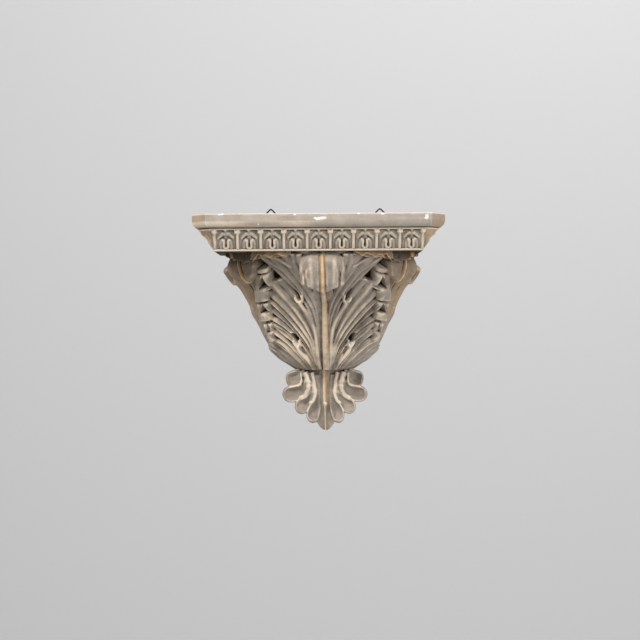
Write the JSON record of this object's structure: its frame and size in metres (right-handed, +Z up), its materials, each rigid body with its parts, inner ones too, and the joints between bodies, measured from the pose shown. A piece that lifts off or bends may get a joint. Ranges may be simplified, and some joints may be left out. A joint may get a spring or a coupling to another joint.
{
  "type": "wall bracket shelf",
  "caption": "Wall-hung plaster bracket shelf with clipped corners, a leaf-and-dart frieze, an acanthus bell and a palmette drop, hung by bent wire loops.",
  "frame": {"origin": "on the flat back that lies against the wall, on the shelf's centre line, 18 mm below the shelf top", "axes": "+X to the right seen from the front, +Y out of the back into the wall, +Z up; the carved front faces -Y"},
  "size_m": [0.381, 0.2, 0.3531],
  "materials": {
    "painted_plaster": "matt grey-taupe paint over plaster, worn to cream and ochre on the ridges",
    "dark_iron_wire": "dark oxidised iron wire"
  },
  "bodies": {
    "root": {"plaster_bracket": "painted_plaster", "hanging_loop_left": "dark_iron_wire", "hanging_loop_right": "dark_iron_wire"}
  },
  "joints": []
}
